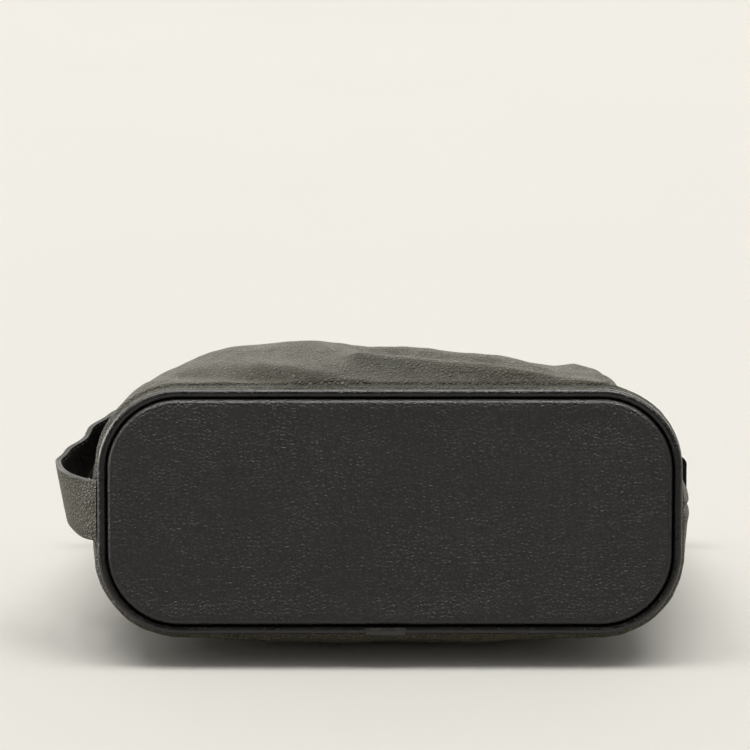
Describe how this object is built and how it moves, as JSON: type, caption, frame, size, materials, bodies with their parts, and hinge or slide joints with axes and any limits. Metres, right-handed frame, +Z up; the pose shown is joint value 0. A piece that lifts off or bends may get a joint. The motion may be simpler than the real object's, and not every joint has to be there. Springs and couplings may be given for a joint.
{
  "type": "makeup bag",
  "caption": "Soft leather makeup bag with a stiffened oval base, piped base seam, side strap handle and a full-length top zip, lying on its back.",
  "frame": {"origin": "middle of the flat patch of the back panel that the bag rests on, on the floor", "axes": "+Z up with the bag lying on its back, +X along the zip to the right seen from the base, and the base facing -Y, leaning back 12 degrees"},
  "size_m": [0.3129, 0.1794, 0.1335],
  "materials": {
    "base_leather": "black pebble-grained cowhide, semi-matte, slightly scuffed",
    "pebbled_leather": "dark olive-grey pebble-grained cowhide, soft, with a soft sheen on the grain",
    "smooth_leather": "black smooth fine-grained leather with cut, lightly polished edges",
    "lining_fabric": "plain-woven grey-brown lining cloth",
    "zip_tape": "black woven zip tape",
    "zip_teeth": "black moulded teeth",
    "metal": "satin nickel",
    "foam": "grey soft foam sheet, not seen",
    "board": "brown pressed stiffening board, not seen",
    "cord": "twisted cotton piping cord, not seen"
  },
  "bodies": {
    "bag": {"base_panel": "base_leather", "base_padding": "foam", "base_board": "board", "base_lining": "lining_fabric", "piping_leather": "smooth_leather", "piping_cord": "cord", "piping_joint_cover": "smooth_leather", "back_panel": "pebbled_leather", "front_panel_lower": "pebbled_leather", "lining_back": "lining_fabric", "lining_front_lower": "lining_fabric", "left_seam_binding": "lining_fabric", "right_seam_binding": "lining_fabric", "inner_pocket": "lining_fabric", "inner_pocket_binding": "smooth_leather", "zip_tape_back": "zip_tape", "zip_tape_front_left_end": "zip_tape", "zip_tape_front_right_end": "zip_tape", "zip_teeth_back": "zip_teeth", "zip_teeth_front_left_end": "zip_teeth", "zip_teeth_front_right_end": "zip_teeth", "zip_stop_left": "metal", "zip_stop_right": "metal", "zip_end_tab_left": "smooth_leather", "zip_end_tab_right": "smooth_leather", "strap_lower_anchor": "pebbled_leather", "strap_upper_anchor": "pebbled_leather"},
    "mouth": {"front_panel_upper": "pebbled_leather", "lining_front_upper": "lining_fabric", "zip_tape_front": "zip_tape", "zip_teeth_front": "zip_teeth"},
    "slider": {"zip_slider": "metal"},
    "puller": {"puller_frame": "metal", "puller_tab": "smooth_leather"},
    "strap": {"strap_outer": "pebbled_leather", "strap_lining": "smooth_leather"}
  },
  "joints": [
    {"name": "mouth_opening", "type": "hinge", "parent": "bag", "child": "mouth", "pos_m": [0, 0.01974, 0.13133], "axis": [1, 0, 0], "range_deg": [0, 28]},
    {"name": "slider_travel", "type": "slide", "parent": "bag", "child": "slider", "axis": [-1, 0, 0], "range_m": [0, 0.224]},
    {"name": "puller_swing", "type": "hinge", "parent": "slider", "child": "puller", "pos_m": [0.112, 0.11137, 0.03722], "axis": [0, -0.2079, -0.9781], "range_deg": [0, 180]},
    {"name": "strap_swing", "type": "hinge", "parent": "bag", "child": "strap", "pos_m": [-0.1473, -0.03985, 0.06936], "axis": [0, 0.9781, -0.2079], "range_deg": [-10, 10]}
  ],
  "couplings": [
    {"joint": "slider_travel", "follows": "mouth_opening", "m_per_rad": 0.458}
  ]
}
